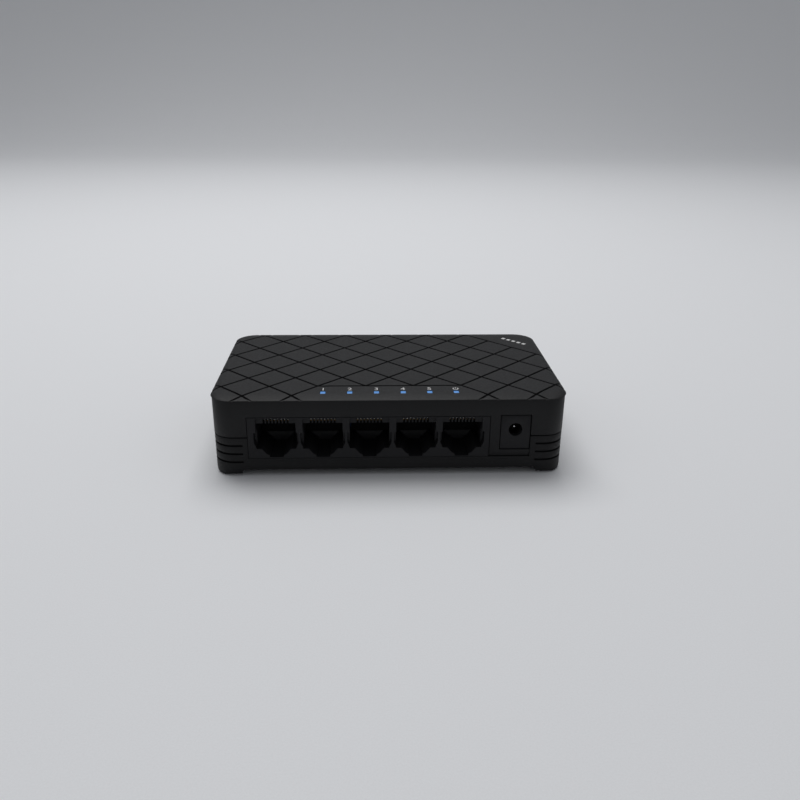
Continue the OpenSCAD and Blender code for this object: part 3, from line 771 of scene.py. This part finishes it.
def close_panel(panel):
    """Gives the panel its rounded rim and its flat underside."""
    bm = bmesh.new()
    bm.from_mesh(panel.data)
    rim = [e for e in bm.edges if e.is_boundary]
    loop = [rim[0].verts[0]]
    here = rim[0]
    while len(loop) < len(rim):
        there = here.other_vert(loop[-1])
        loop.append(there)
        here = next(e for e in there.link_edges if e.is_boundary and e != here)
    rings = [loop]
    for outset, height in RIM_STEPS:
        ring = []
        for v in loop:
            outward = edge_facts(v.co.x, v.co.y)[1]
            z = EDGE_Z + (v.co.z - EDGE_Z) * height
            ring.append(bm.verts.new((*(v.co.xy + outward * EDGE_LAND * outset), z)))
        rings.append(ring)
    count = len(loop)
    for upper, lower in zip(rings, rings[1:]):
        for k in range(count):
            n = (k + 1) % count
            bm.faces.new((upper[k], lower[k], lower[n], upper[n]))
    bm.faces.new(rings[-1])
    bmesh.ops.recalc_face_normals(bm, faces=bm.faces)
    bm.to_mesh(panel.data)
    bm.free()


def make_cover_walls():
    """The upper shell's walls and roof below the panel, with the two front openings."""
    block_gap, socket_gap = 0.15 * MM, 0.2 * MM
    front = BASE_LOW.y
    past_wall = front + 3 * MM
    walls = prism(outline(OVERHANG), SEAM_Z, EDGE_Z + 0.005 * MM)
    inner = prism(outline(OVERHANG + WALL), SEAM_Z - MM, CEILING_Z)
    block_right = BLOCK_HIGH.x + block_gap
    port_opening = block((BLOCK_LOW.x - block_gap, front - MM, 0),
                         (block_right, past_wall, BLOCK_HIGH.z + 0.1 * MM))
    power_opening = block((SOCKET_LOW.x - socket_gap, front - MM, 0),
                          (SOCKET_HIGH.x + socket_gap, past_wall, SOCKET_HIGH.z + 0.25 * MM))
    combine(walls, "DIFFERENCE", inner, port_opening, power_opening, *window_cutters())
    rail_right = SOCKET_LOW.x - socket_gap
    tongue_right = SOCKET_HIGH.x + 0.1 * MM
    low = BOARD_HIGH.z
    toe_top = low + 0.95 * MM
    back = front + WALL
    socket_face = 11 * MM
    sill_top = SOCKET_HIGH.z - socket_face - 0.1 * MM
    rail = block((block_right, front, toe_top), (rail_right, back, SEAM_Z))
    sill = block((block_right, front, toe_top), (tongue_right, back, sill_top))
    toe = block((block_right, front + 0.35 * MM, low), (tongue_right, back, toe_top + 0.05 * MM))
    combine(walls, "UNION", rail, sill, toe)
    merge_flat_faces(walls)
    bevel(walls, 0.16, 2, 40)
    return walls


def make_bosses():
    """The four screw bosses inside the upper shell."""
    bosses = []
    for low, high in screw_places():
        centre = (low + high) / 2
        boss = tube(centre, 3 * MM, BOARD_HIGH.z + 0.2 * MM, CEILING_Z + 0.3 * MM)
        pilot = tube(centre, 1.3 * MM, BOARD_HIGH.z, BOARD_HIGH.z + 9 * MM)
        bosses.append(combine(boss, "DIFFERENCE", pilot))
    return bosses


def screw_places():
    """Low and high corners of the four case screws."""
    low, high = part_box("case_screws")
    width = 5.2 * MM
    found = []
    for x in (low.x, high.x - width):
        for y in (low.y, high.y - width):
            corner = Vector((x, y, low.z))
            found.append((corner, corner + Vector((width, width, high.z - low.z))))
    return found


def window_places():
    """Centres of the six indicator windows on the panel, where the light guide ends."""
    half = 0.75 * MM
    first, last = GUIDE_LOW.x + half, GUIDE_HIGH.x - half
    y = GUIDE_LOW.y + 0.9 * MM
    return [Vector((first + (last - first) * k / (WINDOWS - 1), y, COVER_HIGH.z))
            for k in range(WINDOWS)]


def window_cutters():
    """Blocks that cut the openings for the six indicator windows."""
    reach = Vector((0.8 * MM, 0.95 * MM, 3.5 * MM))
    return [block(place - reach, place + reach) for place in window_places()]


class SWITCH_OT_top_cover(bpy.types.Operator):
    """Builds the upper shell with its diamond-grooved top panel"""
    bl_idname = "switch.top_cover"
    bl_label = "Upper shell"

    def execute(self, context):
        panel = make_panel(context.scene.switch_panel)
        walls = make_cover_walls()
        combine(panel, "DIFFERENCE", *window_cutters())
        panel.data.materials.clear()
        panel.data.materials.append(finish("cover_plastic"))
        shell = joined("upper_shell", [panel, walls, *make_bosses()])
        smooth(shell, 25)
        settle(shell, "case", "cover_plastic", "top_cover")
        return {"FINISHED"}


# ------------------------------------------------------------------------- other shells

class SWITCH_OT_lower_shell(bpy.types.Operator):
    """Builds the lower shell with its vent grooves and corner feet"""
    bl_idname = "switch.lower_shell"
    bl_label = "Lower shell"

    def execute(self, context):
        softened("base", "lower_shell", "base_plastic", 0.12)
        return {"FINISHED"}


PAD_RADIUS = 3.2


def foot_pad():
    """A round rubber pad with a rounded lower edge and a shallow dimple."""
    height = 1.2
    profile = [(0, 0.12), (1.6, 0.1), (2.1, 0.0), (2.75, 0.0), (3.0, 0.07), (3.15, 0.22),
               (PAD_RADIUS, 0.4), (PAD_RADIUS, height), (0, height)]
    pad = turned("pad", [(r * MM, z * MM) for r, z in profile])
    pad.data.transform(Matrix.Rotation(math.radians(90), 4, "X"))
    return pad


class SWITCH_OT_rubber_feet(bpy.types.Operator):
    """Puts a rubber pad under each corner foot"""
    bl_idname = "switch.rubber_feet"
    bl_label = "Rubber feet"

    def execute(self, context):
        low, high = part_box("rubber_feet")
        inset = PAD_RADIUS * MM
        corners = [(x, y, low.z) for x in (low.x + inset, high.x - inset)
                   for y in (low.y + inset, high.y - inset)]
        feet = copies(foot_pad(), "rubber_pads", "foot_rubber", corners)
        smooth(feet, 40)
        settle(feet, "case", "foot_rubber", "rubber_feet")
        return {"FINISHED"}


def screw_shape(head_r, head_h, shank_r, length):
    """A pan-head screw, head down, with a cross recess and a ridged shank, in millimetres."""
    ridge = 0.5
    root_r = shank_r * 0.8
    profile = [(0, 0), (head_r - 0.5, 0), (head_r - 0.15, 0.12), (head_r, 0.4),
               (head_r, head_h), (root_r, head_h)]
    y = head_h + 0.15
    while y < length - 1:
        profile += [(root_r, y), (shank_r, y + ridge * 0.3), (root_r, y + ridge * 0.6)]
        y += ridge
    profile += [(shank_r * 0.6, length - 0.4), (0, length)]
    screw = turned("screw", [(r * MM, z * MM) for r, z in profile], steps=24)
    screw.data.transform(Matrix.Rotation(math.radians(90), 4, "X"))
    arm = Vector((head_r * 0.55, 0.25, 0.8)) * MM
    other_arm = Vector((arm.y, arm.x, arm.z))
    return combine(screw, "DIFFERENCE", block(-arm, arm), block(-other_arm, other_arm))


class SWITCH_OT_screws(bpy.types.Operator):
    """Builds the case screws and the board screws"""
    bl_idname = "switch.screws"
    bl_label = "Screws"

    def execute(self, context):
        points = [((low.x + high.x) / 2, (low.y + high.y) / 2, low.z)
                  for low, high in screw_places()]
        case_screws = copies(screw_shape(2.6, 1.7, 1.25, 11), "case_screw_set", "screw_steel",
                             points)
        smooth(case_screws, 35)
        settle(case_screws, "case", "screw_steel", "case_screws")
        low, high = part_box("board_screws")
        middle_y = (low.y + high.y) / 2
        head_r = 2.1
        shape = screw_shape(head_r, 1.3, 0.9, 3.4)
        shape.data.transform(Matrix.Rotation(math.pi, 4, "X"))
        board_screws = copies(shape, "board_screw_set", "screw_steel",
                              [(x, middle_y, high.z)
                               for x in (low.x + head_r * MM, high.x - head_r * MM)])
        smooth(board_screws, 35)
        settle(board_screws, "case", "screw_steel", "board_screws")
        return {"FINISHED"}


# ------------------------------------------------------------------------- ports

class SWITCH_OT_port_block(bpy.types.Operator):
    """Builds the ganged port housing and the inserts that hold the wires"""
    bl_idname = "switch.port_block"
    bl_label = "Port block"

    def execute(self, context):
        softened("port_block", "port_housing", "socket_plastic", 0.09)
        softened("contact_inserts", "wire_inserts", "insert_plastic", 0.1)
        return {"FINISHED"}


def wire_row(port):
    """X positions of one port's eight wires."""
    return [PORT_X[port] + (k - (WIRES - 1) / 2) * WIRE_PITCH for k in range(WIRES)]


class SWITCH_OT_contacts(bpy.types.Operator):
    """Builds the sprung arms of every port, and the fixed leads behind them"""
    bl_idname = "switch.contacts"
    bl_label = "Contact wires"

    def execute(self, context):
        wire = 0.4 * MM
        row_gap = 0.85 * MM
        for i in range(PORTS):
            body = f"port_{i + 1}_springs"
            node = f"port_{i + 1}_contacts"
            low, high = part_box(node)
            pivot = PIVOTS[body]
            end_y, end_z = high.y - wire / 2, low.z + wire / 2
            reach, drop = end_y - pivot.y, end_z - pivot.z
            path = [(0, 0, 0), (0, reach * 0.1, drop * 0.13), (0, reach * 0.86, drop),
                    (0, reach, drop * 0.94)]
            places = [(x, pivot.y, pivot.z) for x in wire_row(i)]
            arms = wires(f"port_{i + 1}_wires", "contact_gold", path, places, wire, wire,
                         1.2 * MM)
            settle(arms, body, "contact_gold", node)
        top = LEADS_HIGH.z - wire / 2
        bend_y = LEADS_LOW.y + wire / 2
        pivot = PIVOTS["port_1_springs"]
        rows = []
        for odd in (0, 1):
            tail_y = LEADS_HIGH.y - wire / 2 - (0 if odd else row_gap)
            path = [(0, bend_y, pivot.z + 0.34 * MM), (0, bend_y, top), (0, tail_y, top),
                    (0, tail_y, LEADS_LOW.z)]
            places = [(x, 0, 0) for i in range(PORTS) for x in wire_row(i)[odd::2]]
            rows.append(wires("leads", "contact_gold", path, places, wire, wire, 0.4 * MM))
        leads = joined("fixed_leads", rows)
        smooth(leads, 40)
        settle(leads, "case", "contact_gold", "contact_leads")
        return {"FINISHED"}


# ------------------------------------------------------------------------- power socket

class SWITCH_OT_power_socket(bpy.types.Operator):
    """Builds the power socket's housing, pin, sleeve contact and terminals"""
    bl_idname = "switch.power_socket"
    bl_label = "Power socket"

    def execute(self, context):
        softened("power_socket", "power_housing", "power_socket_plastic", 0.12, segments=3)
        low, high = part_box("power_pin")
        radius = (high.z - low.z) / 2
        angles = [math.radians(a) for a in range(0, 91, 10)]
        nose = [(radius * math.sin(a), low.y + radius * (1 - math.cos(a))) for a in angles]
        pin = turned("centre_pin", nose + [(radius, high.y), (0, high.y)], finish("pin_nickel"))
        pin.data.transform(Matrix.Translation(((low.x + high.x) / 2, 0, (low.z + high.z) / 2)))
        smooth(pin, 40)
        settle(pin, "case", "pin_nickel", "power_pin")
        low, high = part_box("power_spring")
        pivot = PIVOTS["power_leaf"]
        reach, rise = low.y + 0.3 * MM - pivot.y, high.z - 0.3 * MM - pivot.z
        path = [(0, 0, 0), (0, reach * 0.5, rise * 0.5), (0, reach * 0.9, rise * 1.05),
                (0, reach, rise * 0.8)]
        leaf = wires("sleeve_spring", "spring_bronze", path, [tuple(pivot)],
                     high.x - low.x, 0.24 * MM, 0.6 * MM)
        settle(leaf, "power_leaf", "spring_bronze", "power_spring")
        softened("power_terminals", "power_tabs", "tinned_lead", 0.05)
        return {"FINISHED"}


# ------------------------------------------------------------------------- indicators and print

def flat_mark(shapes, name):
    """Thin printed shapes, each a plan outline, standing just proud of the panel."""
    parts = [prism(points, COVER_HIGH.z - 0.05 * MM, COVER_HIGH.z + 0.012 * MM)
             for points in shapes]
    for part in parts:
        part.data.materials.append(finish("ink"))
    return joined(name, parts)


def rectangle(cx, cy, w, d):
    """A rectangle's corners on the plan, about its centre."""
    return [(cx - w / 2, cy - d / 2), (cx + w / 2, cy - d / 2), (cx + w / 2, cy + d / 2),
            (cx - w / 2, cy + d / 2)]


def mark_shapes():
    """A plain row of equal squares, one for each port, in millimetres."""
    side, pitch = 1.3, 2.2
    return [rectangle((k - (PORTS - 1) / 2) * pitch, 0, side, side) for k in range(PORTS)]


class SWITCH_OT_indicators(bpy.types.Operator):
    """Builds the light guide, the indicator diodes, the port numbers and the corner mark"""
    bl_idname = "switch.indicators"
    bl_label = "Indicators and print"

    def execute(self, context):
        softened("light_guide", "clear_light_guide", "clear_acrylic", 0.1)
        softened("status_leds", "indicator_diodes", "led_body", 0.06)
        self.port_numbers()
        self.corner_mark()
        return {"FINISHED"}

    def port_numbers(self):
        """Numerals behind the first five windows, and a ring with a bar behind the last."""
        places = window_places()
        offset = 2.45 * MM
        glyphs = []
        for k, place in enumerate(places[:-1]):
            curve = bpy.data.curves.new("numeral", "FONT")
            curve.body = str(k + 1)
            curve.size = 2.9 * MM
            curve.extrude = 0.03 * MM
            curve.align_x = "CENTER"
            curve.align_y = "CENTER"
            text = bpy.data.objects.new("numeral", curve)
            bpy.context.scene.collection.objects.link(text)
            graph = bpy.context.evaluated_depsgraph_get()
            mesh = bpy.data.meshes.new_from_object(text.evaluated_get(graph))
            discard(text)
            mesh.transform(Matrix.Translation(place + Vector((0, offset, -0.018 * MM))))
            glyphs.append(new_object("numeral", mesh, finish("ink")))
        glyphs.append(self.power_glyph(places[-1] + Vector((0, offset, 0))))
        numbers = joined("indicator_numbers", glyphs)
        settle(numbers, "case", "label_film")

    def power_glyph(self, centre):
        """An open ring with a bar in its gap."""
        inner, outer = 0.62 * MM, 0.9 * MM
        angles = [math.radians(130 + 280 * k / 20) for k in range(21)]
        ring = [(centre.x + outer * math.cos(a), centre.y + outer * math.sin(a)) for a in angles]
        ring += [(centre.x + inner * math.cos(a), centre.y + inner * math.sin(a))
                 for a in angles[::-1]]
        bar = rectangle(centre.x, centre.y + 0.62 * MM, 0.26 * MM, 0.85 * MM)
        return flat_mark([ring, bar], "power_glyph")

    def corner_mark(self):
        """The row of squares in the plain back corner, along the groove direction."""
        centre = Vector((45.7, 21.6)) * MM
        turn = Matrix.Rotation(math.radians(-45), 2)
        shapes = [[tuple(centre + turn @ (Vector(p) * MM)) for p in points]
                  for points in mark_shapes()]
        settle(flat_mark(shapes, "corner_mark"), "case", "label_film")


# ------------------------------------------------------------------------- board

def lead_path(reach, height):
    """A gull-wing lead from its foot to the package, along -Y to 0."""
    return [(0, -reach, 0.08 * MM), (0, -reach * 0.55, 0.08 * MM), (0, -reach * 0.45, height),
            (0, 0, height)]


def package_place(node):
    """The centre of a square package's foot on the board, and half its depth."""
    low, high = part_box(node)
    middle = (low + high) / 2
    return (middle.x, middle.y, BOARD_HIGH.z), (high.y - low.y) / 2


def package_leads(name, node, packages, count, pitch, reach, height, width, turns):
    """Leads along the edges of each package, given as (centre, half depth)."""
    points, angles = [], []
    for centre, half in packages:
        for turn in turns:
            spin = Matrix.Rotation(turn, 3, "Z")
            for k in range(count):
                local = Vector(((k - (count - 1) / 2) * pitch, -half, 0))
                points.append(tuple(Vector(centre) + spin @ local))
                angles.append(turn)
    made = wires(name, "tinned_lead", lead_path(reach, height), points, width, 0.15 * MM,
                 0.12 * MM, angles)
    settle(made, "case", "tinned_lead", node)


SOFT_BOARD_PARTS = (
    ("circuit_board", "main_board", "board_laminate", 0.05),
    ("switch_chip", "switch_package", "chip_epoxy", 0.12),
    ("port_transformers", "transformer_packages", "chip_epoxy", 0.3),
    ("memory_chip", "memory_package", "chip_epoxy", 0.12),
    ("regulator_chip", "regulator_package", "chip_epoxy", 0.12),
    ("clock_crystal", "crystal_can", "can_steel", 0.25),
    ("power_inductor", "inductor_core", "ferrite", 0.3),
    ("reservoir_capacitor", "large_capacitor", "can_aluminium", 0.3),
    ("output_capacitor", "small_capacitor", "can_aluminium", 0.25),
    ("protection_diode", "diode_body", "chip_epoxy", 0.2),
    ("fuse", "fuse_body", "ceramic", 0.08),
    ("surge_capacitor", "disc_capacitor", "blue_epoxy", 0.6),
    ("chip_capacitors", "small_capacitors", "ceramic", 0.08),
    ("chip_resistors", "small_resistors", "chip_epoxy", 0.05),
    ("underside_label", "blank_label", "label_film", 0.03),
)


class SWITCH_OT_board(bpy.types.Operator):
    """Builds the circuit board, its components and the blank label"""
    bl_idname = "switch.board"
    bl_label = "Board and label"

    def execute(self, context):
        for node, name, slot, width in SOFT_BOARD_PARTS:
            softened(node, name, slot, width)
        two_sides = (0, math.pi)
        four_sides = [k * math.pi / 2 for k in range(4)]
        package_leads("switch_package_leads", "switch_chip_leads", [package_place("switch_chip")],
                      count=16, pitch=0.8 * MM, reach=1.1 * MM, height=0.6 * MM,
                      width=0.3 * MM, turns=four_sides)
        low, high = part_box("port_transformers")
        width, spacing = 16 * MM, 19.5 * MM
        centres = [low.x + width / 2, low.x + width / 2 + spacing, high.x - width / 2]
        depth = (high.y - low.y) / 2
        package_leads("transformer_package_leads", "transformer_leads",
                      [((x, low.y + depth, BOARD_HIGH.z), depth) for x in centres],
                      count=8, pitch=1.27 * MM, reach=1.0 * MM, height=1.5 * MM,
                      width=0.4 * MM, turns=two_sides)
        package_leads("small_package_leads", "small_chip_leads",
                      [package_place(node) for node in ("memory_chip", "regulator_chip")],
                      count=4, pitch=1.27 * MM, reach=1.0 * MM, height=0.7 * MM,
                      width=0.4 * MM, turns=two_sides)
        return {"FINISHED"}


# ------------------------------------------------------------------------- stage

CAMERA_PLACE = Vector((-6.569, -245.495, 112.494)) * MM
CAMERA_YAW = math.radians(2.517)
CAMERA_DIP = math.radians(22.305)
CAMERA_ROLL = math.radians(0.587)
CAMERA_LENS = 35.30


def make_light(scene):
    """One large soft lamp, above and a little behind, and an even pale surround."""
    data = bpy.data.lights.new("key", "AREA")
    data.shape = "SQUARE"
    data.size = 0.8
    data.energy = 7.0
    lamp = bpy.data.objects.new("key", data)
    scene.collection.objects.link(lamp)
    lamp.location = (-0.1, 0.4, 1.0)
    lamp.rotation_euler = (-lamp.location).to_track_quat("-Z", "Y").to_euler()
    scene.world = bpy.data.worlds.new("studio")
    scene.world.use_nodes = True
    background = scene.world.node_tree.nodes["Background"]
    background.inputs["Color"].default_value = (*srgb("eceef2"), 1)
    background.inputs["Strength"].default_value = 0.34


def make_camera(scene):
    """The camera: in front, above and a little left of the middle."""
    forward = Vector((math.sin(CAMERA_YAW) * math.cos(CAMERA_DIP),
                      math.cos(CAMERA_YAW) * math.cos(CAMERA_DIP), -math.sin(CAMERA_DIP)))
    level = forward.cross(UP).normalized()
    upright = level.cross(forward)
    right = level * math.cos(CAMERA_ROLL) + upright * math.sin(CAMERA_ROLL)
    above = upright * math.cos(CAMERA_ROLL) - level * math.sin(CAMERA_ROLL)
    data = bpy.data.cameras.new("camera")
    data.lens = CAMERA_LENS
    data.sensor_width = 36
    data.clip_start = 0.01
    camera = bpy.data.objects.new("camera", data)
    scene.collection.objects.link(camera)
    turn = Matrix((right, above, -forward)).transposed()
    camera.matrix_world = Matrix.Translation(CAMERA_PLACE) @ turn.to_4x4()
    scene.camera = camera


def make_floor():
    """A pale floor that curves up far behind the object, so that no horizon shows."""
    bend_y, radius, reach, top = 1.0, 0.9, 4.0, 3.0
    profile = [(-reach, 0.0), (0.0, 0.0)]
    steps = 12
    for k in range(steps + 1):
        angle = math.radians(90 * k / steps)
        profile.append((bend_y + radius * math.sin(angle), radius * (1 - math.cos(angle))))
    profile.append((bend_y + radius, top))
    bm = bmesh.new()
    left = [bm.verts.new((-reach, y, z)) for y, z in profile]
    right = [bm.verts.new((reach, y, z)) for y, z in profile]
    for k in range(len(profile) - 1):
        bm.faces.new((left[k], right[k], right[k + 1], left[k + 1]))
    floor = new_object("floor", mesh_from(bm, "floor"),
                       printed_film("pale_studio_floor", srgb("e9eaec"), 0.7))
    smooth(floor, 60)


class SWITCH_OT_stage(bpy.types.Operator):
    """Sets up the camera, the pale floor and the soft studio light"""
    bl_idname = "switch.stage"
    bl_label = "Stage"

    def execute(self, context):
        scene = context.scene
        make_camera(scene)
        make_floor()
        make_light(scene)
        scene.view_settings.view_transform = "Standard"
        return {"FINISHED"}


# ------------------------------------------------------------------------- panel and main

OPERATORS = (SWITCH_OT_stage, SWITCH_OT_top_cover, SWITCH_OT_lower_shell, SWITCH_OT_rubber_feet,
             SWITCH_OT_screws, SWITCH_OT_port_block, SWITCH_OT_contacts, SWITCH_OT_power_socket,
             SWITCH_OT_indicators, SWITCH_OT_board)


class SWITCH_PT_sidebar(bpy.types.Panel):
    """Lists the steps that build the switch"""
    bl_idname = "SWITCH_PT_sidebar"
    bl_label = "Network switch"
    bl_space_type = "VIEW_3D"
    bl_region_type = "UI"
    bl_category = "Network switch"

    def draw(self, context):
        for group in (context.scene.switch_panel, context.scene.switch_colours):
            box = self.layout.box()
            for name in group.__annotations__:
                box.prop(group, name)
        for operator in OPERATORS:
            self.layout.operator(operator.bl_idname)


CLASSES = (PanelSizes, ShellColours, *OPERATORS, SWITCH_PT_sidebar)


def register():
    for cls in CLASSES:
        bpy.utils.register_class(cls)
    bpy.types.Scene.switch_panel = bpy.props.PointerProperty(type=PanelSizes)
    bpy.types.Scene.switch_colours = bpy.props.PointerProperty(type=ShellColours)


def unregister():
    del bpy.types.Scene.switch_colours
    del bpy.types.Scene.switch_panel
    for cls in reversed(CLASSES):
        bpy.utils.unregister_class(cls)


def main():
    """Builds every piece."""
    register()
    for operator in OPERATORS:
        group, name = operator.bl_idname.split(".")
        getattr(getattr(bpy.ops, group), name)()


if __name__ == "__main__":
    main()
